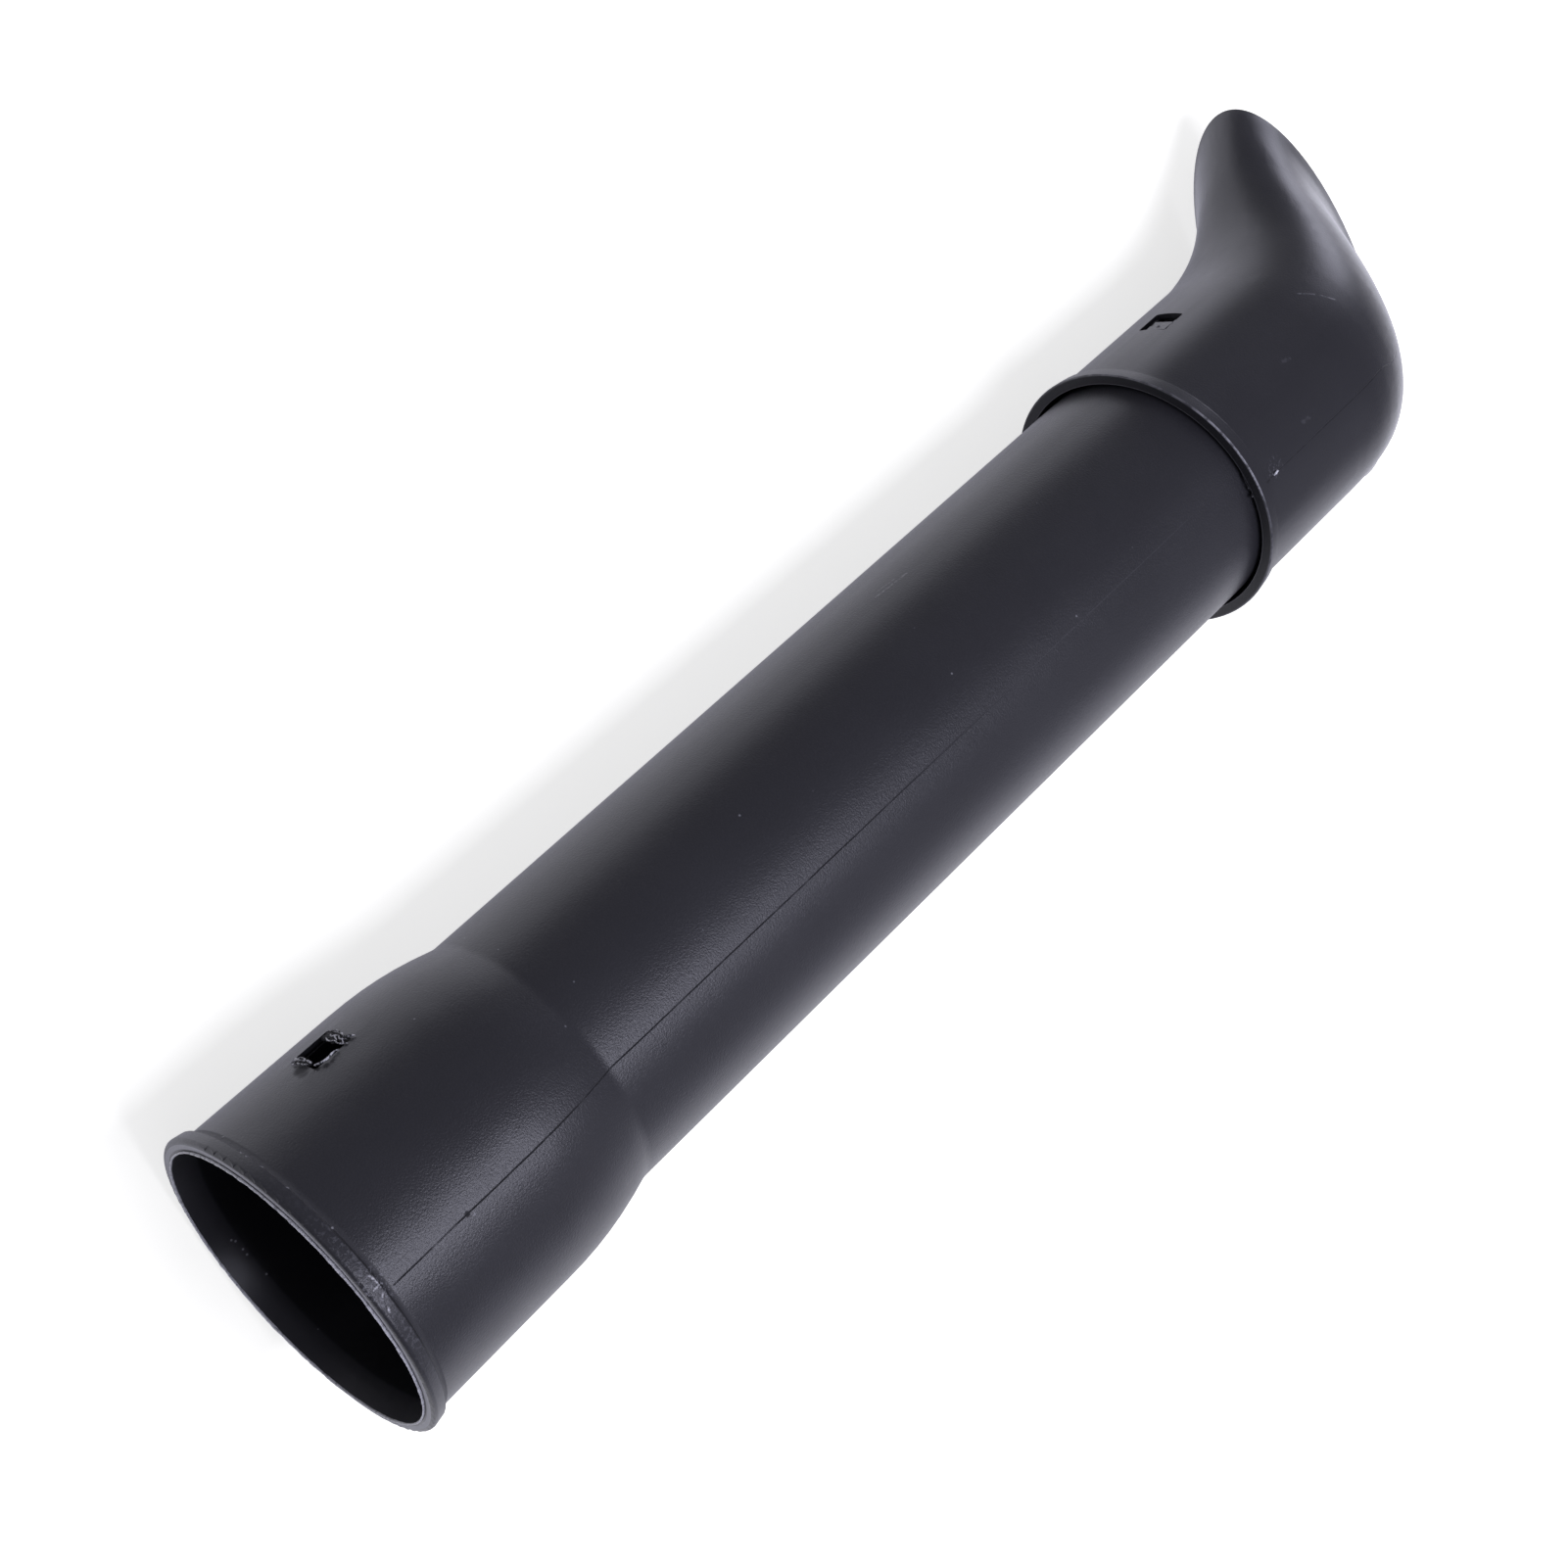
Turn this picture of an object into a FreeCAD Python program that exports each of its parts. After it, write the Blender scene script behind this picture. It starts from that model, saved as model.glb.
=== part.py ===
import FreeCAD, Part
import math
import os

from FreeCAD import Vector

# Leaf blower nozzle tube: a straight air tube with a flared socket, and a bent flat nozzle pushed over its far end.
# X runs along the tube from the socket to the nozzle, Y points to the latch windows and Z is up.
# The part lies level on the socket's lip and on the lower edge of the nozzle's mouth.
# The origin is on the tube's axis, where the straight wall of the socket begins. All sizes are in millimetres.

# Air tube
tube_outer_d = 80.0         # outside of the straight run
tube_wall = 2.0
tube_end = 395.0            # far end of the tube, inside the nozzle's collar

# Socket that slips over the blower's outlet
socket_oversize = 6.0       # bore of the socket over the outside of the tube
socket_wall = 2.3           # wall behind the lip, before the draft thins it
socket_depth = 44.0         # length of the straight wall
socket_draft = 0.6          # degrees, outside of the socket narrows away from the lip
shoulder_length = 32.0      # from the straight socket to the crease where the tube begins
crease_radius = 9.0         # hollow rounding of that crease

# Flanged lip and lead-in, of one form on the socket and on the collar
lead_in_length = 7.3        # tapered entry inside each mouth
socket_entry_step = 0.7     # how much wider the socket's entry is at its edge
collar_entry_step = 1.1     # the same for the collar
lip_proud = 2.1             # height of the flange above the wall
socket_nose = 1.3           # rounding of the flange's front edge
collar_nose = 0.5
lip_band = 4.2              # from the end face to the flange's back edge
lip_taper = 0.5             # how much lower the back edge is
lip_cove = 2.0              # length of the hollow that runs from the back edge into the wall

# Latch window in the socket, on the +Y side
socket_window_x = 31.0      # middle of the window
socket_window_z = -0.8
socket_window_length = 12.0
socket_window_width = 11.6
window_corner = 0.8

# Latch between the tube and the nozzle: a lug on the tube in a window of the collar, on the +Y side
latch_setback = 15.8        # middle of the collar's window, back from the tube's end
collar_window_z = -0.6      # the nozzle sits turned a little, so the window lies below the lug
collar_window_length = 9.6
collar_window_width = 10.8
lug_play = 0.3              # from the lug's steep face to the window's near edge
lug_length = 7.4
lug_width = 7.2
lug_z = 0.8
lug_sink = 0.2              # top of the lug below the outside of the collar
lug_ramp = 3.0              # sloped face that lifts the collar as it is pushed on

# Nozzle collar
collar_overlap = 50.6       # how far the collar reaches back over the tube, on the axis
collar_lean = 4.7           # degrees, the collar's mouth is trimmed aslant and reaches further back below
collar_clearance = 0.3      # radial gap between the tube and the collar
collar_wall = 2.3
collar_root = 2.0           # plain wall behind the lead-in that still follows the slant
end_room = 2.4              # plain collar past the tube's end
blend_run = 7.9             # straight start of the spout, still round

# Bent, flattened spout
bend_angle = 36.0           # degrees, downwards
bend_radius = 70.3          # of the middle line
throat_width = 121.7        # flattened section without the flare
throat_height = 41.4
width_ease = 1.12           # above 1 the section spreads later along the spout
height_ease = 1.06
rim_flare_start = 0.35      # share of the spout's length where it begins to flare towards the rim
rim_flare_width = 19.5      # added to the width at the rim
rim_flare_height = 8.6      # added to the height at the rim
spout_wall = 2.3
spout_sections = 12

# Sizes that follow from the ones above
tube_r = tube_outer_d / 2
tube_inner_r = tube_r - tube_wall
socket_bore_r = tube_r + socket_oversize / 2
socket_r = socket_bore_r + socket_wall
socket_lip_r = socket_r + lip_proud
collar_bore_r = tube_r + collar_clearance
collar_r = collar_bore_r + collar_wall
collar_start = tube_end - collar_overlap
collar_window_x = tube_end - latch_setback
spout_start = tube_end + end_room
bend_start = spout_start + blend_run
cut_margin = 5.0            # how far a cutting solid reaches past what it cuts
sew_gap = 0.0001            # widest gap closed where the collar's and the spout's faces meet


def at(x, r):
    """A point of a profile, at distance r from the tube's axis."""
    return Vector(x, 0, r)


def line(start, end):
    return Part.LineSegment(start, end).toShape()


def arc(start, middle, end):
    return Part.Arc(start, middle, end).toShape()


def turned(profile):
    return profile.revolve(Vector(0, 0, 0), Vector(1, 0, 0), 360)


def lip_edges(x, inner_r, wall_r, nose):
    """Flat end face of a mouth, its rounded nose, the flange's band and the hollow behind it."""
    lip_r = wall_r + lip_proud
    nose_rise = nose * (1 - math.sqrt(0.5))
    nose_middle = at(x + nose_rise, lip_r - nose_rise)
    back_proud = lip_proud - lip_taper
    back_edge = at(x + lip_band, wall_r + back_proud)

    # The hollow is an arc that leaves the back edge and lies along the wall at its end
    cove_r = (lip_cove ** 2 + back_proud ** 2) / (2 * back_proud)
    half_turn = math.atan2(lip_cove, cove_r - back_proud) / 2
    cove_end_x = x + lip_band + lip_cove
    cove_middle = at(cove_end_x - cove_r * math.sin(half_turn), wall_r + cove_r * (1 - math.cos(half_turn)))
    return [
        line(at(x, inner_r), at(x, lip_r - nose)),
        arc(at(x, lip_r - nose), nose_middle, at(x + nose, lip_r)),
        line(at(x + nose, lip_r), back_edge),
        arc(back_edge, cove_middle, at(cove_end_x, wall_r)),
    ]


def shoulder_circle(r_start, r_end):
    """Radius of the round shoulder that leaves the socket along X and comes down to the tube."""
    drop = r_start - r_end
    return (shoulder_length ** 2 + drop ** 2) / (2 * drop)


def shoulder_point(r_start, radius, turn):
    return at(socket_depth + radius * math.sin(turn), r_start - radius * (1 - math.cos(turn)))


def window_cutter(x, z, length, width, r_inside, r_outside):
    """Block with rounded corners that cuts a latch window through the +Y wall."""
    block = Part.makeBox(length, r_outside - r_inside, width, Vector(x - length / 2, r_inside, z - width / 2))
    corners = [edge for edge in block.Edges if abs(edge.tangentAt(edge.FirstParameter).y) > 0.99]
    return block.makeFillet(window_corner, corners)


def tube_shell():
    """Socket, shoulder and straight tube as one turned wall."""
    mouth_x = -lead_in_length
    lip_back_x = mouth_x + lip_band + lip_cove
    shoulder_r = socket_r - math.tan(math.radians(socket_draft)) * (socket_depth - lip_back_x)

    # Outside, the round shoulder runs into a hollow arc that lies along the tube
    outer = shoulder_circle(shoulder_r, tube_r)
    rise = tube_r + crease_radius - (shoulder_r - outer)
    crease_x = socket_depth + math.sqrt((outer + crease_radius) ** 2 - rise ** 2)
    turn = math.atan2(crease_x - socket_depth, rise)
    shoulder_foot = shoulder_point(shoulder_r, outer, turn)
    half_lift = crease_radius * (1 - math.cos(turn / 2))
    crease_middle = at(crease_x - crease_radius * math.sin(turn / 2), tube_r + half_lift)

    # Inside, the same kind of shoulder comes down from the socket's bore to the tube's
    inner = shoulder_circle(socket_bore_r, tube_inner_r)
    inner_turn = math.asin(shoulder_length / inner)
    inner_foot = at(socket_depth + shoulder_length, tube_inner_r)

    edges = lip_edges(mouth_x, socket_bore_r + socket_entry_step, socket_r, socket_nose)
    edges += [
        line(at(lip_back_x, socket_r), at(socket_depth, shoulder_r)),
        arc(at(socket_depth, shoulder_r), shoulder_point(shoulder_r, outer, turn / 2), shoulder_foot),
        arc(shoulder_foot, crease_middle, at(crease_x, tube_r)),
        line(at(crease_x, tube_r), at(tube_end, tube_r)),
        line(at(tube_end, tube_r), at(tube_end, tube_inner_r)),
        line(at(tube_end, tube_inner_r), inner_foot),
        arc(inner_foot, shoulder_point(socket_bore_r, inner, inner_turn / 2), at(socket_depth, socket_bore_r)),
        line(at(socket_depth, socket_bore_r), at(0, socket_bore_r)),
        line(at(0, socket_bore_r), at(mouth_x, socket_bore_r + socket_entry_step)),
    ]
    return turned(Part.Face(Part.Wire(edges)))


def latch_lug():
    """Ramped block on the tube that snaps into the collar's window."""
    near_x = collar_window_x - collar_window_length / 2 + lug_play
    far_x = near_x + lug_length
    top_r = collar_r - lug_sink
    root_r = tube_r - tube_wall / 2
    profile = Part.makePolygon([
        Vector(near_x, root_r, 0),
        Vector(near_x, top_r, 0),
        Vector(far_x - lug_ramp, top_r, 0),
        Vector(far_x, tube_r, 0),
        Vector(far_x, root_r, 0),
        Vector(near_x, root_r, 0),
    ])
    block = Part.Face(profile).extrude(Vector(0, 0, lug_width))
    block.translate(Vector(0, 0, lug_z - lug_width / 2))
    return block


def blower_tube():
    window = window_cutter(socket_window_x, socket_window_z, socket_window_length, socket_window_width,
                           tube_inner_r, socket_lip_r + cut_margin)
    return tube_shell().cut(window).fuse(latch_lug()).removeSplitter()


def collar_mouth(root_x):
    """Slanted mouth of the collar with its lip and lead-in: turned square, then each point slides along X."""
    straight_x = collar_start + lead_in_length
    entry_r = collar_bore_r + collar_entry_step
    edges = [
        line(at(root_x, collar_bore_r), at(straight_x, collar_bore_r)),
        line(at(straight_x, collar_bore_r), at(collar_start, entry_r)),
    ]
    edges += lip_edges(collar_start, entry_r, collar_r, collar_nose)
    edges.append(line(at(collar_start + lip_band + lip_cove, collar_r), at(root_x, collar_r)))
    slide = FreeCAD.Matrix()
    slide.A13 = math.tan(math.radians(collar_lean))
    return turned(Part.Wire(edges)).transformGeometry(slide)


def collar_faces():
    """Slanted mouth, and the round walls from there to where the spout takes over."""
    root_x = collar_start + max(lead_in_length, lip_band + lip_cove) + collar_root
    reach = 2 * collar_r
    trim = Part.makeBox(reach, 2 * reach, 2 * reach, Vector(root_x - reach, -reach, -reach))
    trim.rotate(Vector(root_x, 0, 0), Vector(0, 1, 0), collar_lean)
    faces = collar_mouth(root_x).Faces
    for r in (collar_bore_r, collar_r):
        wall = turned(line(at(collar_start, r), at(spout_start, r)))
        faces += wall.cut(trim).Faces
    return faces


def smooth_step(share):
    return share * share * (3 - 2 * share)


def spout_length():
    """Length of the bent middle line, set so that the mouth's lower edge is level with the socket's lip."""
    turn = math.radians(bend_angle)
    bend_drop = bend_radius * (1 - math.cos(turn))
    rim_drop = (throat_height + rim_flare_height) / 2 * math.cos(turn)
    straight = (socket_lip_r - bend_drop - rim_drop) / math.sin(turn)
    return bend_radius * turn + straight


def spout_place(distance):
    """Middle point and turn of the spout at a distance along its middle line from the start of the bend."""
    turn = min(max(distance / bend_radius, 0), math.radians(bend_angle))
    run = distance - bend_radius * turn
    x = bend_start + bend_radius * math.sin(turn) + run * math.cos(turn)
    z = -bend_radius * (1 - math.cos(turn)) - run * math.sin(turn)
    return Vector(x, 0, z), turn


def spout_section(distance, wall_share):
    """Oval across the spout: its outside for a wall share of 0, the air passage for 1."""
    share = min(max(distance / spout_length(), 0), 1)
    spread = smooth_step(share ** width_ease)
    flatten = smooth_step(share ** height_ease)
    flare = (max(share - rim_flare_start, 0) / (1 - rim_flare_start)) ** 2
    inset = wall_share * (collar_wall + (spout_wall - collar_wall) * smooth_step(share))
    half_width = collar_r + (throat_width / 2 - collar_r) * spread + rim_flare_width / 2 * flare - inset
    half_height = collar_r + (throat_height / 2 - collar_r) * flatten + rim_flare_height / 2 * flare - inset

    # A unit circle is stretched across (Y) and upright (square to the middle line), then moved to its place
    middle, turn = spout_place(distance)
    stretch = FreeCAD.Matrix(
        0, half_height * math.sin(turn), math.cos(turn), middle.x,
        half_width, 0, 0, middle.y,
        0, half_height * math.cos(turn), -math.sin(turn), middle.z,
        0, 0, 0, 1)
    circle = Part.Circle(Vector(0, 0, 0), Vector(0, 0, 1), 1).toShape()
    return Part.Wire(circle.transformGeometry(stretch).Edges)


def spout_faces():
    """Bent wall that flattens and spreads from the round collar to a wide flared mouth."""
    length = spout_length()
    distances = [-blend_run, -blend_run / 2]
    distances += [length * index / spout_sections for index in range(spout_sections + 1)]
    outside = [spout_section(distance, 0) for distance in distances]
    passage = [spout_section(distance, 1) for distance in distances]
    rim = Part.Face(outside[-1]).cut(Part.Face(passage[-1]))
    return Part.makeLoft(outside).Faces + Part.makeLoft(passage).Faces + rim.Faces


def bent_nozzle():
    wall = Part.Compound(collar_faces() + spout_faces())
    wall.sewShape(sew_gap)
    window = window_cutter(collar_window_x, collar_window_z, collar_window_length, collar_window_width,
                           tube_inner_r, collar_r + lip_proud + cut_margin)
    return Part.makeSolid(wall.Shells[0]).cut(window)


def main():
    os.makedirs("parts", exist_ok=True)
    for name, shape in (("blower_tube", blower_tube()), ("bent_nozzle", bent_nozzle())):
        shape.exportStep("parts/" + name + ".step")
        box = shape.BoundBox
        print(name, "valid", shape.isValid(), "solids", len(shape.Solids), "volume", round(shape.Volume, 1))
        print("  x %.2f to %.2f, y %.2f to %.2f, z %.2f to %.2f"
              % (box.XMin, box.XMax, box.YMin, box.YMax, box.ZMin, box.ZMax))


main()
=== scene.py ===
import bpy
import math
import random
from mathutils import Matrix, Vector


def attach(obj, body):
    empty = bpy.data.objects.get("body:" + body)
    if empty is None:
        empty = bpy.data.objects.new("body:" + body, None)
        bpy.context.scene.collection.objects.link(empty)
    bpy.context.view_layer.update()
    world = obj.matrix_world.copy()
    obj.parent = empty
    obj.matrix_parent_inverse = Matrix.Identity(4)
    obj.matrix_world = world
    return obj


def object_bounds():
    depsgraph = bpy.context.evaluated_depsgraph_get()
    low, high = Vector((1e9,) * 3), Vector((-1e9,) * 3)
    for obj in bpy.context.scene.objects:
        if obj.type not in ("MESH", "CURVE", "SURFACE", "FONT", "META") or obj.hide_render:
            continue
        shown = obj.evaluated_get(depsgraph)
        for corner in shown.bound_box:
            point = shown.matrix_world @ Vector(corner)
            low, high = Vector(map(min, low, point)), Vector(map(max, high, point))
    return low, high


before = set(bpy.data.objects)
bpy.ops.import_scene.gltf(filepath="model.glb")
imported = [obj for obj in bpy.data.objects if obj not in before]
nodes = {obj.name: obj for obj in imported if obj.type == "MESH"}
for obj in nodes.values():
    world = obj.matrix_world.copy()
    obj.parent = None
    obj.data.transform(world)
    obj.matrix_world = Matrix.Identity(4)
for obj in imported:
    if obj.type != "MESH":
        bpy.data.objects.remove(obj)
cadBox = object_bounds()
print("frame loaded:", sorted(nodes))


class Value:                                    # a shader socket that can be used in sums
    def __init__(self, maker, socket):
        self.maker = maker
        self.socket = socket

    def math(self, operation, *others):
        return self.maker.node("Math", {"operation": operation}, dict(enumerate((self, *others))))

    def flipped(self, operation, other):        # the plain number comes first
        return self.maker.node("Math", {"operation": operation}, {0: other, 1: self})

    def __add__(self, other): return self.math("ADD", other)
    def __radd__(self, other): return self.flipped("ADD", other)
    def __sub__(self, other): return self.math("SUBTRACT", other)
    def __rsub__(self, other): return self.flipped("SUBTRACT", other)
    def __mul__(self, other): return self.math("MULTIPLY", other)
    def __rmul__(self, other): return self.flipped("MULTIPLY", other)
    def __pow__(self, other): return self.math("POWER", other)
    def __rpow__(self, other): return self.flipped("POWER", other)
    def __abs__(self): return self.math("ABSOLUTE")

    def fade(self, low, high, atLow=0.0, atHigh=1.0):     # soft step between two values
        return self.maker.node("MapRange", {"interpolation_type": "SMOOTHSTEP"},
                               {"Value": self, "From Min": low, "From Max": high,
                                "To Min": atLow, "To Max": atHigh})

    def inside(self, low, high, soft):          # 1 between two values, soft at both ends
        return self.fade(low - soft, low) * self.fade(high, high + soft, 1.0, 0.0)

    def patch(self, size, core=0.3):            # 1 in the core of a mark, gone at its edge
        return self.fade(size * core, size, 1.0, 0.0)


class Nodes:                                    # the nodes of a material or of the world
    def __init__(self, holder, shader):
        holder.use_nodes = True
        self.tree = holder.node_tree
        self.shader = self.tree.nodes[shader]

    def feed(self, socket, value):
        if isinstance(value, Value):
            self.tree.links.new(value.socket, socket)
        else:
            socket.default_value = value

    def shade(self, name, value):               # sets or links a socket of the shader
        self.feed(self.shader.inputs[name], value)

    def node(self, kind, settings, sockets, out=0):
        made = self.tree.nodes.new("ShaderNode" + kind)
        for key, value in settings.items():
            setattr(made, key, value)
        for key, value in sockets.items():
            self.feed(made.inputs[key], value)
        return Value(self, made.outputs[out])

    def mix(self, factor, first, second):       # colours only
        return self.node("Mix", {"data_type": "RGBA"}, {0: factor, 6: first, 7: second}, 2)


def glue(first, *rest):                         # the strongest of several masks
    for mask in rest:
        first = first.math("MAXIMUM", mask)
    return first


def perDegree(r):                               # mm round the wall for one degree
    return r * math.pi / 180


class Look(Nodes):                              # one material, measured in millimetres
    def __init__(self, name):
        self.material = bpy.data.materials.new(name)
        super().__init__(self.material, "Principled BSDF")
        self.place = self.node("VectorMath", {"operation": "SCALE"},            # row frame
                               {0: self.node("TexCoord", {}, {}, "Object"), "Scale": 1000.0})
        self.x, self.y, self.z = (self.node("SeparateXYZ", {}, {0: self.place}, axis) for axis in "XYZ")

    def noise(self, size, detail=2.0, rough=0.5, stretch=(1, 1, 1), out="Fac"):  # size in mm
        spot = self.node("VectorMath", {"operation": "MULTIPLY"},
                         {0: self.place, 1: [1 / (size * s) for s in stretch]})
        return self.node("TexNoise", {},
                         {"Vector": spot, "Scale": 1.0, "Detail": detail, "Roughness": rough}, out)

    def turn(self):                             # degrees round the tube, from the windows towards the top
        return self.z.math("ARCTAN2", self.y) * (180 / math.pi)

    def radius(self):                           # from the tube's axis
        return (self.y * self.y + self.z * self.z) ** 0.5

    def gap(self, centre):                      # distance from a point
        return self.node("VectorMath", {"operation": "DISTANCE"}, {0: self.place, 1: centre}, "Value")

    def spot(self, centre, size):               # soft round patch
        return self.gap(centre).patch(size)

    def fleck(self, turn, x, degrees, size):    # soft round patch anywhere through the socket's wall
        across = (turn - degrees) * perDegree(45)
        return ((self.x - x) ** 2 + across * across).patch(size ** 2, 0.09)

    def stroke(self, start, end, width, ragged=0.5):      # soft line between two points on the surface
        start, end = Vector(start), Vector(end)
        run = end - start
        wander = self.node("VectorMath", {"operation": "SCALE"},
                           {0: self.noise(2.2, 3.0, 0.6, out="Color"), "Scale": ragged * width * 2})
        offset = self.node("VectorMath", {"operation": "SUBTRACT"},
                           {0: self.node("VectorMath", {"operation": "ADD"}, {0: self.place, 1: wander}),
                            1: start + Vector((1, 1, 1)) * ragged * width})
        along = self.node("VectorMath", {"operation": "DOT_PRODUCT"},
                          {0: offset, 1: run / run.length_squared}, "Value")
        held = along.math("MAXIMUM", 0.0).math("MINIMUM", 1.0)
        foot = self.node("VectorMath", {"operation": "SCALE"}, {0: run, "Scale": held})
        gap = self.node("VectorMath", {"operation": "DISTANCE"}, {0: offset, 1: foot}, "Value")
        return gap.patch(width, 0.35)

    def strokes(self, lines, *more):
        return glue(*[self.stroke(*line, *more) for line in lines])

    def patchy(self):                           # breaks up a scratch
        return self.noise(0.9, 2.0, 0.6).fade(0.36, 0.62, 0.05, 1.0)

    def dust(self, spacing, size, share):       # scattered specks, shown in this share of the cells
        cells = self.node("VectorMath", {"operation": "SCALE"}, {0: self.place, "Scale": 1 / spacing})
        near, tone = (self.node("TexVoronoi", {}, {"Vector": cells, "Scale": 1.0}, out)
                      for out in ("Distance", "Color"))
        chance = self.node("SeparateColor", {}, {0: tone})
        return near.patch(size / spacing, 0.4) * chance.fade(1 - share - 0.01, 1 - share)


plastic = {
    "colour": (0.0235, 0.0232, 0.0272, 1),      # black with a trace of blue
    "wornAndLit": (0.0400, 0.0400, 0.0460, 1),      # worn and dusty places, and painted highlights on the socket's end face and the collar's outer edge
    "dark": (0.0060, 0.0060, 0.0075, 1),        # seams, and painted shade in grooves, creases, bores, the collar's mouth and under torn edges
    "pale": (0.34, 0.34, 0.37, 1),              # whitened scratches and torn edges, and painted highlights on edges, end faces and torn crests
    "white": (0.80, 0.80, 0.84, 1),             # freshly cut or stressed edges, and painted highlights on torn and trimmed edges
    "roughness": 0.36,
    "rougher": {"wornAndLit": 0.05, "pale": 0.10, "matt": 0.5},         # what each mark adds
    "grain": 0.52,                              # mm between the bumps of the moulded grain
    "grainDepth": 0.11,                         # mm
}


def plasticLook(name, paint):
    look = Look(name)
    grain = look.noise(plastic["grain"], 2.0, 0.55)
    coarse = look.noise(plastic["grain"] * 2.1, 1.0, 0.5)
    clouds = look.noise(38.0, 3.0, 0.6)
    streaks = look.noise(2.4, 2.0, 0.6, (30, 1, 1))       # drawn out along the tube
    marks = paint(look)

    colour = look.mix(clouds.fade(0.35, 0.75, 0.0, 0.18), plastic["colour"], plastic["wornAndLit"])
    colour = look.mix(grain.fade(0.44, 0.66, 0.0, 0.12) * marks["grainy"], colour, plastic["wornAndLit"])
    for mark in ("wornAndLit", "dark", "pale", "white"):
        if mark in marks:
            colour = look.mix(marks[mark], colour, plastic[mark])
    look.shade("Base Color", colour)

    rough = plastic["roughness"] + (clouds - 0.5) * 0.08 + (grain - 0.5) * 0.12 + (streaks - 0.5) * 0.05
    for mark, amount in plastic["rougher"].items():
        if mark in marks:
            rough = rough + marks[mark] * amount
    look.shade("Roughness", rough)

    height = (grain * 0.85 + coarse * 0.15) * marks["grainy"] - marks["dip"] * 1.2 + marks["pale"] * 0.3
    look.shade("Normal", look.node("Bump", {}, {"Strength": 1.0, "Distance": plastic["grainDepth"] / 1000,
                                                "Height": height}))
    return look


tubeMarks = {                                   # millimetres and degrees; a third number is how soft the ends are
    "wallMiddle": (44.0, 84.0, 43.78, 39.0),    # x of the shoulder's ends, radius at each
    "seamTurn": 76.9,
    "seamRadius": 40.0,
    "seamWidth": 0.23,
    "seamWander": 0.5,
    "seamRun": (0.0, 150.0, 290.0),             # where it begins, starts to fade and is gone
    "seamTwin": ((58.0, 10.8, 42.2), (70.5, 10.0, 40.1), 0.35, 0.3),         # second line on the shoulder
    "seamKnot": ((24.0, 10.2, 43.9), 0.9),      # place and size
    "ridgeEnds": (300.0, 340.0),                # x where the faint pale line after the seam ends
    "bore": (-0.6, 0.4),                        # x where the inside turns dark: painted shade in the bore
    "endFace": (-7.26, -7.20),                  # x of the socket's end
    "groove": (44.15, 44.60, 0.12),             # radii of the dark ring of painted shade in the groove beside the trimmed edge
    "grooveTurn": (-36.0, 76.0, 1.5),
    "face": (44.80, 46.00, 0.15),               # radii of the end face, painted lighter as a painted highlight
    "cove": (-3.0, -1.2, 0.4),                  # where the lip runs into the wall
    "crease": (-3.1, -2.5, 0.25),               # the dark line of painted shade along its foot
    "creaseTurn": (58.0, 92.0, 16.0),
    "lip": (-6.2, -3.0, 0.5),
    "lipRadius": (46.2, 46.5),
    "gritTurn": (56.0, 92.0, 14.0),             # where dirt sits on the lip
    "scratches": [((234.2, 39.6, 5.0), (246.5, 39.5, 6.2), 0.50),
                  ((237.0, 39.7, 3.4), (243.0, 39.6, 4.4), 0.35)],
    "smear": ((196.6, 4.0, 39.8), (213.9, 4.3, 39.8), 4.5),
    "scuff": ((-4.0, 13.4, 45.2), 7.0),         # whitened place on the lip beside the seam
    "cuts": [((-3.7, 16.6, 44.2), (-3.2, 13.9, 45.1)), ((-3.2, 13.7, 45.2), (-5.2, 13.7, 45.2)),
             ((-3.6, 12.0, 45.7), (-4.4, 11.2, 45.9)), ((-5.0, 8.4, 46.5), (-5.3, 7.4, 46.6))],
    "cutStroke": (0.42, 0.6),                   # width, and how ragged
    "specks": [((270.1, 11.0, 38.4), 0.45), ((226.0, 22.0, 33.4), 0.45), ((150.0, 30.0, 26.4), 0.45),
               ((25.3, 8.9, 44.2), 0.5)],
    "dust": (5.0, 0.34, 0.10),                  # spacing, size and share
    "dustThins": (60.0, 160.0, 1.0, 0.35),      # along x, from full to thin
    "flecks": [(-1.3, 1.0), (-3.1, 15.0), (-3.1, 17.5), (-2.9, 23.7), (-2.9, 34.7), (-2.4, 52.3),
               (-2.0, -93.5), (-1.3, -94.8), (-1.0, -98.9), (-1.0, -101.3), (-0.3, -111.1)],    # x and turn
    "fleckSize": 0.42,
    "paintedShadows": [(23.4, 1.0, 2.6, 0.75), (22.6, 3.6, 1.9, 0.5), (25.4, 6.6, 1.1, 0.8), (27.4, 8.3, 1.2, 0.8),
                (29.2, 8.6, 0.9, 0.6)],         # x, turn, size and strength of the shade under the torn edge
}


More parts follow.
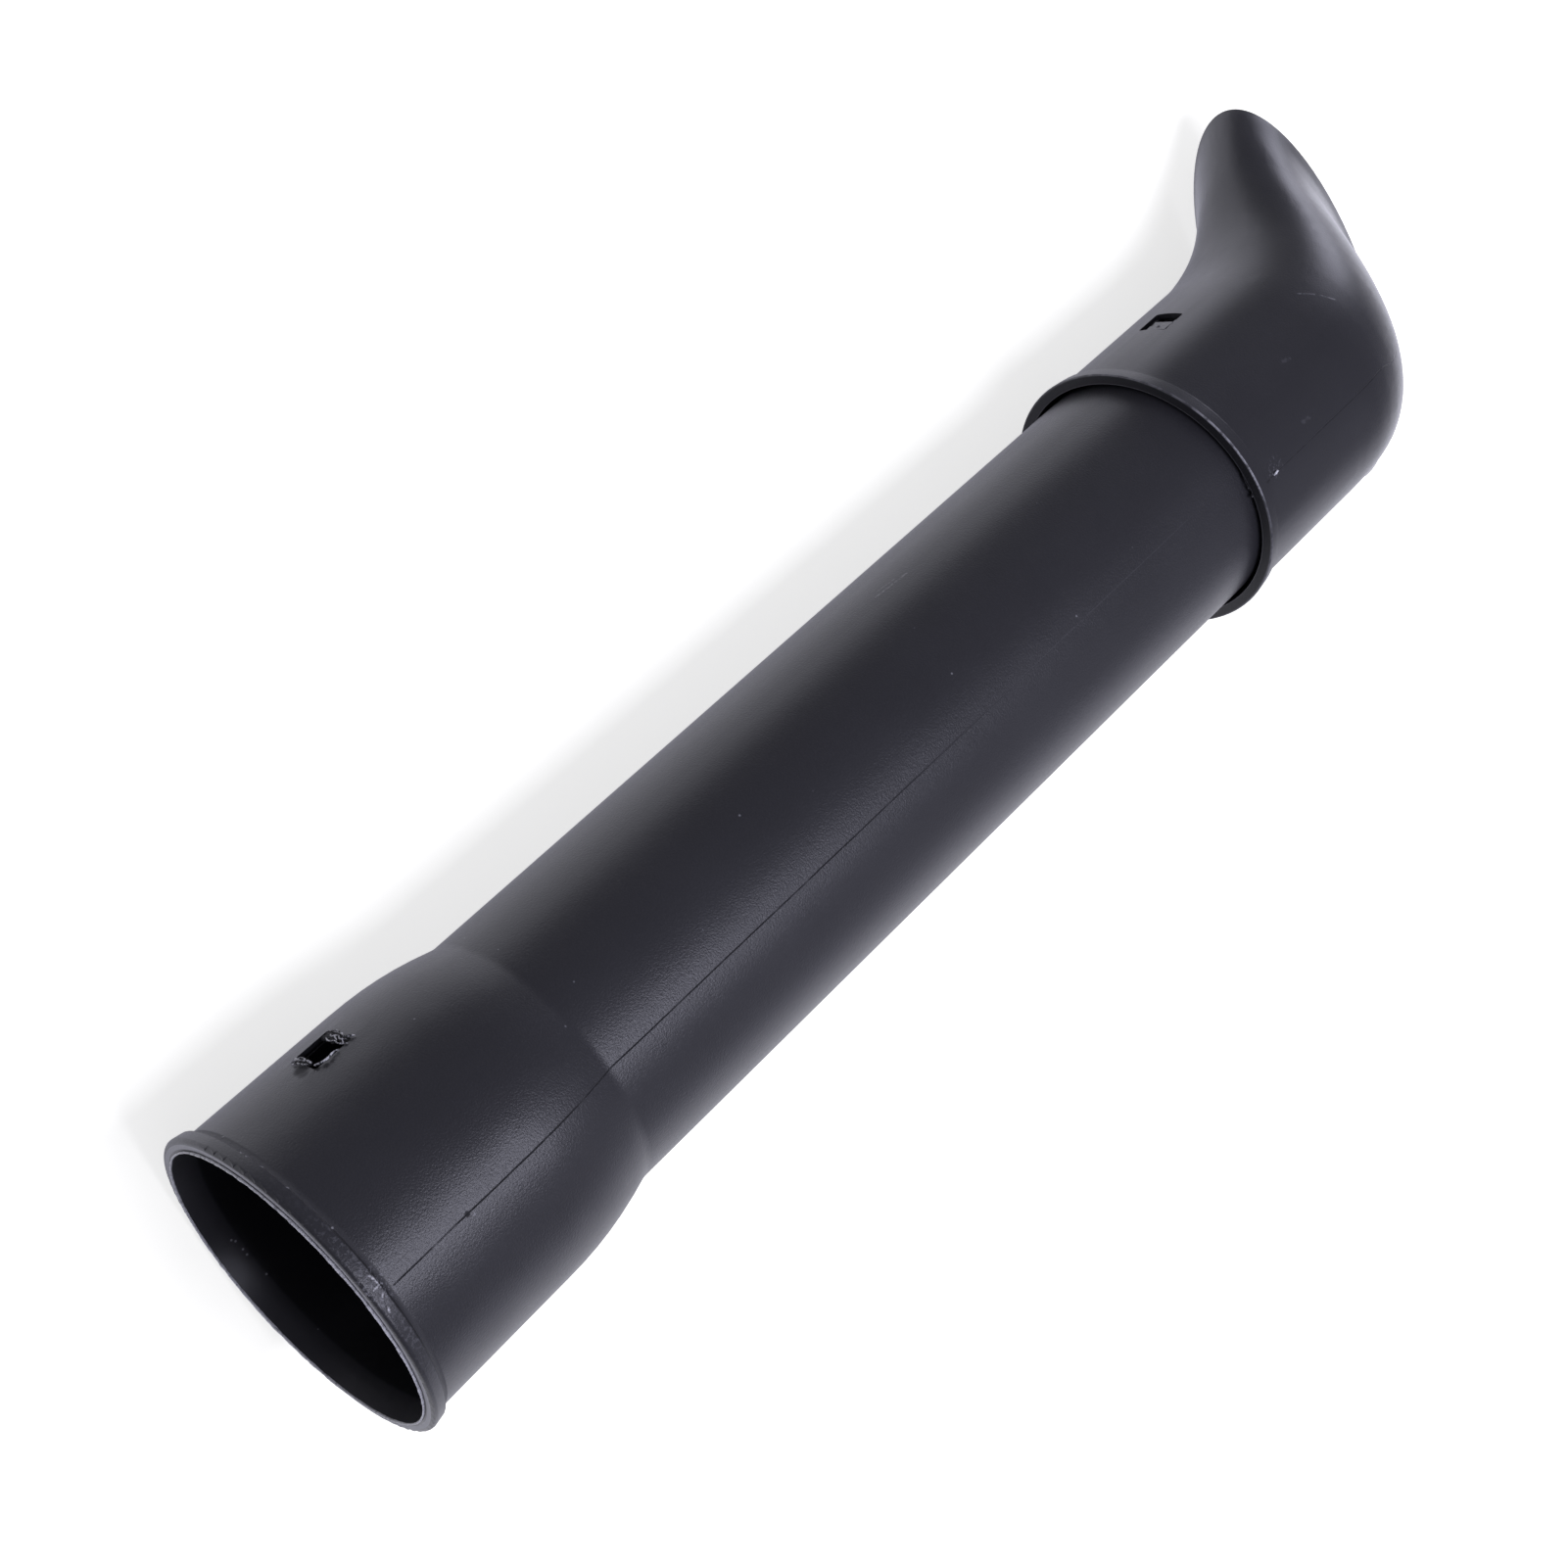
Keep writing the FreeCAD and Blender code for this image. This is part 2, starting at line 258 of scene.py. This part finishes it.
def tubePaint(look):
    turn, radius = look.turn(), look.radius()
    outside = (radius - look.x.fade(*tubeMarks["wallMiddle"])).fade(-0.03, 0.03)

    begins, fades, gone = tubeMarks["seamRun"]
    wander = (look.noise(14.0, 2.0, 0.5, (1, 99, 99)) - 0.5) * tubeMarks["seamWander"]
    across = abs(turn - tubeMarks["seamTurn"] + wander) * perDegree(tubeMarks["seamRadius"])
    broken = look.noise(6.0, 3.0, 0.7, (1, 0.2, 0.2)).fade(0.30, 0.52, 0.25, 1.0)
    line = across.patch(tubeMarks["seamWidth"]) * broken * outside
    ridge = line * look.x.fade(fades, gone) * look.x.fade(*tubeMarks["ridgeEnds"], 1.0, 0.0)
    seam = line * look.x.fade(begins - 0.5, begins) * look.x.fade(fades, gone, 1.0, 0.0)
    seam = glue(seam, look.stroke(*tubeMarks["seamTwin"]) * 0.7, look.spot(*tubeMarks["seamKnot"]) * 0.9)

    # painted shade inside the bore
    bore = (1.0 - outside) * look.x.fade(*tubeMarks["bore"])
    ends = look.x.fade(*tubeMarks["endFace"], 1.0, 0.0)
    # painted shade in the groove beside the trimmed edge
    groove = radius.inside(*tubeMarks["groove"]) * ends * turn.inside(*tubeMarks["grooveTurn"])
    # painted highlight on the end face
    face = radius.inside(*tubeMarks["face"]) * ends
    cove = look.x.inside(*tubeMarks["cove"]) * outside
    # painted shade in the crease at the lip's foot
    crease = look.x.inside(*tubeMarks["crease"]) * outside * turn.inside(*tubeMarks["creaseTurn"])

    lip = look.x.inside(*tubeMarks["lip"]) * radius.fade(*tubeMarks["lipRadius"])
    lip = lip * look.noise(1.3, 3.0, 0.7).fade(0.5, 0.62)
    grit = lip * turn.inside(*tubeMarks["gritTurn"])
    scuff = look.spot(*tubeMarks["scuff"]) * look.noise(0.9, 3.0, 0.7).fade(0.52, 0.66)
    smear = look.stroke(*tubeMarks["smear"])
    patchy = look.patchy()
    scratches = look.strokes(tubeMarks["scratches"]) * patchy * 0.32
    cuts = look.strokes(tubeMarks["cuts"], *tubeMarks["cutStroke"]) * patchy * 0.8
    specks = glue(*[look.spot(*speck) for speck in tubeMarks["specks"]])
    dust = look.dust(*tubeMarks["dust"]) * look.x.fade(*tubeMarks["dustThins"])
    flecks = glue(*[look.fleck(turn, *place, tubeMarks["fleckSize"]) for place in tubeMarks["flecks"]])
    # painted shadows under the torn edge
    paintedShadows = glue(*[look.fleck(turn, *place, size) * strength
                     for *place, size, strength in tubeMarks["paintedShadows"]])

    return {
        "dark": glue(seam, bore, groove, crease * 0.9, paintedShadows),
        "dip": seam,
        "wornAndLit": glue(face, lip * 0.5, scuff * 0.8, smear * 0.12),
        "pale": glue(scratches, specks * 0.55, dust * 0.40, scuff * 0.60, face, flecks * 0.7,
                     grit * 0.12, ridge * 0.05),
        "white": cuts,
        "matt": glue(cove * 0.45, crease, paintedShadows, seam),
        "grainy": outside,
    }


nozzleMarks = {                                 # as for the tube
    "seamSide": 2.0,                            # mm from the middle plane
    "seamShift": (415.0, 431.0, 0.0, 3.4),      # it runs aside along x
    "seamWidth": 0.28,
    "seamUpper": (0.0, 6.0),                    # z where it comes in
    "seamStart": (354.0, 356.0),
    "boreStart": (344.0, 349.0),                # x
    "boreEnd": (395.0, 398.0),
    "boreRadius": (40.9, 41.2),
    "scratches": [((410.5, 33.0, 26.6), (414.4, 30.4, 29.2), 0.40),
                  ((415.6, 29.4, 30.0), (418.6, 26.0, 32.4), 0.40)],
    "smears": [((385.0, 24.2, 35.1), (388.0, 23.6, 35.4), 0.9),
               ((377.5, 8.0, 41.8), (380.5, 7.6, 41.9), 0.9)],
    "nick": ((351.5, 1.6, 42.6), (355.2, 1.7, 42.6), 0.45, 0.4),
    "scuff": ((359.0, 3.4, 42.4), 5.0),
    "dust": (6.0, 0.32, 0.06),
    "lean": math.tan(math.radians(4.7)),        # the collar's mouth is trimmed aslant
    "mouth": 344.4,                             # x where its face crosses the axis
    "mouthRadius": (41.4, 44.0, 0.15),
    "mouthDepth": (0.3, 0.6),                   # mm behind the face
    "bead": (41.35, 41.60, 0.10),               # radii of its inner edge, which carries a thin painted highlight
    "edge": (44.30, 44.80, 0.08),               # and of its outer one, painted lighter as a painted highlight
    "edgeDepth": (0.1, 0.4, 0.2),
    "edgeHighlightTurn": (52.0, 84.0, 10.0),           # where that painted highlight is strongest
}


def nozzlePaint(look):
    turn, radius = look.turn(), look.radius()
    # painted shade inside the collar's bore
    inner = look.x.fade(*nozzleMarks["boreStart"]) * look.x.fade(*nozzleMarks["boreEnd"], 1.0, 0.0)
    inner = inner * radius.fade(*nozzleMarks["boreRadius"], 1.0, 0.0)

    across = abs(look.y - nozzleMarks["seamSide"] + look.x.fade(*nozzleMarks["seamShift"]))
    broken = look.noise(7.0, 3.0, 0.7, (1, 0.2, 0.2)).fade(0.36, 0.54, 0.1, 1.0)
    seam = across.patch(nozzleMarks["seamWidth"]) * broken
    seam = seam * look.z.fade(*nozzleMarks["seamUpper"]) * look.x.fade(*nozzleMarks["seamStart"])
    nick = look.stroke(*nozzleMarks["nick"])

    patchy = look.patchy()
    scratches = look.strokes(nozzleMarks["scratches"]) * patchy * 0.36
    smears = look.strokes(nozzleMarks["smears"]) * patchy * 0.10
    scuff = look.spot(*nozzleMarks["scuff"]) * look.noise(0.9, 3.0, 0.7).fade(0.54, 0.68)
    dust = look.dust(*nozzleMarks["dust"])

    behind = look.x - look.z * nozzleMarks["lean"] - nozzleMarks["mouth"]             # mm behind the mouth's face
    atFace = behind.fade(*nozzleMarks["mouthDepth"], 1.0, 0.0)
    # painted shade on the collar's mouth face
    mouth = radius.inside(*nozzleMarks["mouthRadius"]) * atFace
    # thin painted highlight on the mouth's inner edge
    bead = radius.inside(*nozzleMarks["bead"]) * atFace
    # painted highlight along the mouth's outer edge, broken up by noise
    edge = radius.inside(*nozzleMarks["edge"]) * behind.inside(*nozzleMarks["edgeDepth"])
    edgeHighlight = look.noise(3.0, 3.0, 0.7).fade(0.36, 0.60, 0.15, 1.0)
    edgeHighlight = edgeHighlight * (turn.inside(*nozzleMarks["edgeHighlightTurn"]) * 0.7 + 0.3)

    return {
        "dark": glue(seam * 0.75, nick * 0.8, inner, mouth * 0.75),
        "dip": seam * 0.5,
        "wornAndLit": glue(edge, scuff * 0.7),
        "pale": glue(scratches, smears, scuff * 0.30, dust * 0.3, edge * edgeHighlight * 0.9, bead * 0.2),
        "matt": mouth * 0.4,
        "grainy": (1.0 - inner) * 0.4,
    }


def tornPaint(look):                            # pale and dark fibres of a torn edge: painted highlights on the crests of its bumps and painted shade in their hollows
    ragged = look.noise(1.0, 3.0, 0.7)
    return {
        "dark": ragged.fade(0.52, 0.60, 0.0, 0.9),
        "dip": ragged * 0.4,
        "wornAndLit": ragged.fade(0.40, 0.50, 1.0, 0.2),
        "pale": ragged.fade(0.46, 0.58, 1.0, 0.0),
        "white": ragged.fade(0.38, 0.54, 0.65, 0.0),
        "matt": ragged,
        "grainy": 0.5,
    }


def scrapPaint(look):                           # mostly dark, partly as painted shade in the hollows of its bumps, and pale on their crests as painted highlights
    ragged = look.noise(0.7, 3.0, 0.7)
    return {
        "dark": ragged.fade(0.36, 0.44, 0.3, 1.0),
        "dip": ragged,
        "pale": ragged.fade(0.30, 0.40, 0.5, 0.0),
        "matt": 1.0,
        "grainy": 0.5,
    }


def trimPaint(look):                            # mostly white
    ragged = look.noise(1.1, 3.0, 0.7)
    return {
        "dip": ragged * 0.3,
        "wornAndLit": ragged.fade(0.2, 0.6, 1.0, 0.6),
        "pale": ragged.fade(0.38, 0.62, 1.0, 0.6),
        "white": ragged.fade(0.46, 0.68, 1.0, 0.35),
        "matt": ragged,
        "grainy": 0.5,
    }


skinSet = {
    "join": 0.000005,                           # metres: nearer corners are one, so shading runs over CAD joins
    "sharp": 28,                                # degrees: steeper edges stay sharp
}


def dress(node, look):
    skin = nodes[node]
    skin.data.materials.clear()
    skin.data.materials.append(look.material)
    skin.modifiers.new("joins", "WELD").merge_threshold = skinSet["join"]
    skin.modifiers.new("creases", "EDGE_SPLIT").split_angle = math.radians(skinSet["sharp"])
    skin.modifiers.new("shading", "WEIGHTED_NORMAL").keep_sharp = True


nozzleLook = plasticLook("nozzleBlack", nozzlePaint)
dress("blower_tube", plasticLook("tubeBlack", tubePaint))
dress("bent_nozzle", nozzleLook)
tornLook = plasticLook("tornEdge", tornPaint)
scrapLook = plasticLook("tornScrap", scrapPaint)
trimLook = plasticLook("trimmedEdge", trimPaint)
print("plastic dressed")


def onWall(x, r, degrees):                      # millimetres to metres
    turn = math.radians(degrees)
    return Vector((x, r * math.cos(turn), r * math.sin(turn))) / 1000


def piece(name, points, faces, look):
    mesh = bpy.data.meshes.new(name)
    mesh.from_pydata(points, [], faces)
    mesh.materials.append(look.material)
    made = bpy.data.objects.new(name, mesh)
    bpy.context.scene.collection.objects.link(made)
    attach(made, "root")


def between(stops, step):                       # a smooth run of places through a few stops
    run = []
    last = len(stops) - 1
    for index in range(last):
        before, first, second, after = (Vector(stops[min(max(index + k, 0), last)]) for k in (-1, 0, 1, 2))
        count = max(2, round((second - first).length / step))
        for k in range(count):
            t = k / count
            run.append((first * 2 + (second - before) * t
                        + (before * 2 - first * 5 + second * 4 - after) * t ** 2
                        + (first * 3 - before - second * 3 + after) * t ** 3) / 2)
    return run + [Vector(stops[-1])]


sliverSet = {
    "section": ((-0.5, 0.0), (-0.28, 0.42), (0.24, 0.5), (0.5, 0.06), (0.2, -0.5), (-0.3, -0.42)),
    "swell": (0.45, 1.55),                      # how it thins and thickens
    "change": 0.3,                              # share of that taken up at each place
    "wander": 0.08,                             # in thicknesses
    "tip": (0.25, 0.3),                         # size at an open end, and growth from place to place
}


def strip(name, places, width, thickness, look, seed, closed=False):    # thin ragged sliver along a path
    dice = random.Random(seed)
    count, size = len(places), len(sliverSet["section"])
    change, wander = sliverSet["change"], sliverSet["wander"]
    tip, growth = sliverSet["tip"]
    points, faces = [], []
    swell = 1.0
    for index, place in enumerate(places):
        ahead = onWall(*places[(index + 1) % count if closed else min(index + 1, count - 1)])
        behind = onWall(*places[index - 1 if closed else max(index - 1, 0)])
        out = (onWall(place[0], 1.0, place[2]) - onWall(place[0], 0.0, place[2])).normalized()
        side = (ahead - behind).cross(out).normalized()
        swell = (1 - change) * swell + change * dice.uniform(*sliverSet["swell"])
        taper = 1.0 if closed else min(1.0, tip + growth * min(index, count - 1 - index))
        middle = onWall(*place) + out * dice.uniform(-wander, wander) * thickness / 1000
        for across, up in sliverSet["section"]:
            reach = side * across * width + out * up * thickness
            points.append(middle + reach * swell * taper / 1000)
    for index in range(count if closed else count - 1):
        following = (index + 1) % count
        for k in range(size):
            faces.append([index * size + k, index * size + (k + 1) % size,
                          following * size + (k + 1) % size, following * size + k])
    if not closed:
        faces += [list(range(size))[::-1], [(count - 1) * size + k for k in range(size)]]
    piece(name, points, faces, look)


flakeSet = {
    "step": 0.35,                               # mm between the places round the rim
    "ragged": (0.16, 0.22, 0.14),               # along x in mm, round in degrees, up and down in mm
    "levels": (0.5, -0.5),                      # upper and lower rim, in thicknesses
    "crown": (0.7, -0.5),                       # and the middle
}


def flake(name, corners, r, thickness, look, seed):           # torn scrap lying in the wall
    dice = random.Random(seed)
    alongX, around, height = flakeSet["ragged"]
    rim = between(corners + corners[:1], flakeSet["step"])[:-1]
    rim = [(x + dice.uniform(-alongX, alongX), turn + dice.uniform(-around, around)) for x, turn in rim]
    count = len(rim)
    middleX, middleTurn = (sum(place[k] for place in rim) / count for k in (0, 1))
    points, faces = [], []
    for level in flakeSet["levels"]:
        points += [onWall(x, r + thickness * level + dice.uniform(-height, height), turn) for x, turn in rim]
    points += [onWall(middleX, r + thickness * level, middleTurn) for level in flakeSet["crown"]]
    for index in range(count):
        following = (index + 1) % count
        faces += [[index, following, 2 * count], [count + following, count + index, 2 * count + 1],
                  [following, index, count + index, count + following]]
    piece(name, points, faces, look)


trimSet = {                                     # flash left by trimming the socket's inner edge, painted white partly as a painted highlight along it
    "r": 43.88,
    "x": -7.58,
    "width": 0.78,
    "thickness": 0.46,
    "turns": 540,                               # steps round the ring
    "seed": 5,
}


def trimmedEdge():
    step = 360 / trimSet["turns"]
    places = [Vector((trimSet["x"], trimSet["r"], step * k)) for k in range(trimSet["turns"])]
    strip("trimmed_edge", places, trimSet["width"], trimSet["thickness"], trimLook,
          trimSet["seed"], closed=True)


tearSet = {                                     # torn socket window
    "step": 0.3,                                # mm along a sliver
    "sliverSeed": 20,
    "scrapSeed": 40,
    "shaded": ("lower_edge",),                  # as dark as the scraps
    "slivers": {                                # x, radius and turn along each one, width, thickness
        "near_burr": ([(23.9, 45.6, -5.9), (25.1, 45.8, -5.0), (25.4, 45.9, -2.3),
                       (26.0, 45.8, 1.1), (26.0, 45.5, 3.0)], 0.55, 0.5),
        "near_fold": ([(23.6, 45.5, -4.4), (24.4, 45.7, -2.6), (24.6, 45.7, 0.2), (25.2, 45.5, 2.4)], 0.45, 0.45),
        "near_twig": ([(25.2, 45.4, -7.6), (25.9, 45.6, -5.4), (26.6, 45.4, -3.2), (26.3, 45.2, -1.0)], 0.35, 0.35),
        "upper_curl": ([(25.7, 45.5, 4.9), (27.0, 45.8, 6.7), (28.9, 45.9, 7.5),
                        (31.0, 45.7, 6.7), (32.6, 45.4, 7.0)], 0.5, 0.5),
        "far_ridge": ([(36.4, 45.6, -3.9), (36.9, 45.8, -1.9), (36.8, 45.8, 1.1),
                       (36.4, 45.7, 4.8), (37.6, 45.4, 6.7)], 0.45, 0.45),
        "far_thread": ([(34.5, 45.2, -4.4), (33.6, 45.5, -0.6), (34.2, 45.5, 2.0),
                        (33.9, 45.5, 4.7), (35.2, 45.2, 7.2)], 0.4, 0.35),
        "far_loop": ([(35.6, 45.5, -3.0), (35.0, 45.7, -0.8), (35.9, 45.7, 1.4),
                      (35.2, 45.6, 3.4), (36.0, 45.4, 5.4)], 0.35, 0.35),
        "far_wisp": ([(36.4, 45.5, -1.0), (35.2, 45.7, 0.6), (34.5, 45.5, 2.8)], 0.3, 0.3),
        "far_hair": ([(36.8, 45.5, 3.0), (35.4, 45.7, 4.6), (34.6, 45.3, 6.0)], 0.3, 0.3),
        "far_tail": ([(36.6, 45.6, 4.0), (37.3, 45.6, 5.6), (37.9, 45.4, 7.2)], 0.35, 0.3),
        "lower_edge": ([(26.6, 43.1, -8.9), (30.2, 43.1, -8.6), (33.4, 43.1, -8.7), (36.4, 43.1, -8.8)], 0.4, 0.3),
    },
    "scraps": {                                 # x and turn round each one, radius, thickness
        "near_scrap": ([(24.6, -8.4), (26.0, -8.6), (26.4, -5.2), (27.0, -2.2),
                        (26.6, 1.6), (24.8, 1.2), (24.6, -3.0)], 44.6, 0.8),
        "far_scrap": ([(37.3, -8.2), (37.4, 0.0), (37.5, 6.2), (35.2, 6.2), (34.8, 3.4),
                       (35.4, 1.0), (34.2, -1.0), (34.9, -4.0), (34.4, -8.0)], 44.3, 0.8),
    },
}


def tornWindow():
    for seed, (name, (stops, width, thickness)) in enumerate(tearSet["slivers"].items(), tearSet["sliverSeed"]):
        look = scrapLook if name in tearSet["shaded"] else tornLook
        strip(name, between(stops, tearSet["step"]), width, thickness, look, seed)
    for seed, (name, (corners, r, thickness)) in enumerate(tearSet["scraps"].items(), tearSet["scrapSeed"]):
        flake(name, corners, r, thickness, scrapLook, seed)


burrSet = {                                     # small burrs on the nozzle
    "step": 0.25,                               # mm along a burr
    "seed": 60,
    "burrs": {                                  # x, radius and turn along each one, width, thickness, finish
        "seam_curl": ([(357.6, 42.6, 87.6), (358.2, 43.0, 87.2), (359.3, 42.9, 87.0),
                       (360.0, 42.6, 87.6)], 0.7, 0.5, trimLook),
        "mouth_thread": ([(348.0, 41.3, 77.0), (347.4, 41.3, 82.0), (347.6, 41.3, 86.0)], 0.35, 0.3, scrapLook),
        "mouth_bead": ([(347.7, 41.2, 87.6), (347.3, 41.5, 88.4), (347.8, 41.2, 89.2)], 0.8, 0.6, scrapLook),
        "window_shred": ([(375.6, 42.3, 6.2), (378.2, 42.4, 6.2), (380.9, 42.3, 6.3)], 0.75, 0.4, nozzleLook),
        "window_crumb": ([(376.1, 42.3, -0.4), (376.5, 42.5, 1.2), (376.4, 42.3, 2.8)], 0.5, 0.4, tornLook),
        "window_fray": ([(376.0, 42.2, -4.1), (377.4, 42.4, -3.5), (379.4, 42.4, -4.0),
                         (380.8, 42.2, -3.6)], 0.4, 0.4, scrapLook),
    },
}


def nozzleBurrs():
    for seed, (name, (stops, width, thickness, look)) in enumerate(burrSet["burrs"].items(), burrSet["seed"]):
        strip(name, between(stops, burrSet["step"]), width, thickness, look, seed)


trimmedEdge()
tornWindow()
nozzleBurrs()
print("burrs and torn edges added")


floorSet = {
    "size": 40.0,                               # metres
    "colour": (0.90, 0.90, 0.78, 1),            # looks white under the bluish light
    "seen": (0.70, 0.70, 0.70, 1),              # plain white added to what the camera sees
    "mirrored": (0.50, 0.50, 0.60, 1),          # and to what the plastic reflects
    "pools": [((610.0, -25.0, 0.0), 90.0, 190.0, (1.70, 1.70, 2.00, 1)),    # painted pools of light near the nozzle, seen in the plastic's reflections
              ((500.0, 105.0, 0.0), 45.0, 115.0, (1.00, 1.00, 1.18, 1))],   # with middle, fade and end in mm
    "edge": (150.0, 270.0),                     # y in mm where the reflected white ends
    "beyond": (0.30, 0.30, 0.28, 1),            # the darker floor reflected past it
    "none": (0, 0, 0, 1),
}


def floor():
    half = floorSet["size"] / 2
    mesh = bpy.data.meshes.new("floor")
    mesh.from_pydata([(-half, -half, 0), (half, -half, 0), (half, half, 0), (-half, half, 0)], [], [(0, 1, 2, 3)])
    sheet = bpy.data.objects.new("floor", mesh)
    sheet.location = (0, 0, cadBox[0].z)
    bpy.context.scene.collection.objects.link(sheet)
    look = Look("floorWhite")
    look.shade("Roughness", 1.0)
    look.shade("Specular IOR Level", 0.0)
    look.shade("Emission Strength", 1.0)
    seen, glossy, through = (look.node("LightPath", {}, {}, "Is %s Ray" % ray)
                             for ray in ("Camera", "Glossy", "Transmission"))
    glow = look.mix(seen, floorSet["none"], floorSet["seen"])
    beyond = look.y.fade(*floorSet["edge"])
    shine = look.mix(beyond, floorSet["mirrored"], floorSet["none"])
    for middle, fades, ends, light in floorSet["pools"]:
        shine = look.mix(look.gap(middle).fade(fades, ends, 1.0, 0.0), shine, light)
    look.shade("Base Color", look.mix(glossy * beyond, floorSet["colour"], floorSet["beyond"]))
    look.shade("Emission Color", look.mix(glue(glossy, through), glow, shine))
    mesh.materials.append(look.material)


lightSet = {
    "panels": {                                 # place, what it faces, width, height, watts
        "topPanel": ((0.24, -0.06, 1.20), (0.24, -0.06, 0.0), 0.78, 0.48, 7.4),
        "backPanel": ((0.35, -1.70, 0.20), (0.235, 0.0, 0.0), 2.7, 0.80, 4.4),
        "sidePanel": ((0.94, -0.94, 0.96), (0.28, 0.0, 0.0), 0.9, 0.60, 0.55),
        "endPanel": ((1.66, 0.36, 0.08), (0.45, 0.04, 0.0), 0.42, 0.26, 1.9),
    },
    "tint": (0.98, 0.98, 1.17),
    "room": (0.235, 0.235, 0.282, 1),
    "backdrop": (1.0, 1.0, 1.0, 1),             # what the camera sees past the floor
}


def lights():
    for name, (place, faces, width, height, watts) in lightSet["panels"].items():
        lamp = bpy.data.lights.new(name, "AREA")
        lamp.shape = "RECTANGLE"
        lamp.size, lamp.size_y, lamp.energy = width, height, watts
        lamp.color = lightSet["tint"]
        panel = bpy.data.objects.new(name, lamp)
        panel.location = place
        panel.rotation_euler = (Vector(place) - Vector(faces)).to_track_quat("Z", "Y").to_euler()
        panel.visible_camera = False
        bpy.context.scene.collection.objects.link(panel)
    world = bpy.data.worlds.new("room")
    room = Nodes(world, "Background")
    seen = room.node("LightPath", {}, {}, "Is Camera Ray")
    room.shade("Color", room.mix(seen, lightSet["room"], lightSet["backdrop"]))
    bpy.context.scene.world = world


cameraSet = {
    "place": (-0.15777, 0.34038, 0.54639),
    "right": (0.650043, -0.400400, 0.645852),
    "up": (0.596072, 0.795828, -0.106562),
    "lens": 60.25,                              # mm
    "sensor": 36.0,                             # mm, square
}


def camera():
    data = bpy.data.cameras.new("camera")
    data.lens, data.sensor_width = cameraSet["lens"], cameraSet["sensor"]
    right, up = Vector(cameraSet["right"]), Vector(cameraSet["up"])
    turned = Matrix((right, up, right.cross(up))).transposed().to_4x4()
    eye = bpy.data.objects.new("camera", data)
    eye.matrix_world = Matrix.Translation(cameraSet["place"]) @ turned
    bpy.context.scene.collection.objects.link(eye)
    bpy.context.scene.camera = eye


floor()
lights()
camera()
bpy.context.scene.view_settings.view_transform = "Standard"
print("floor, lights and camera set")
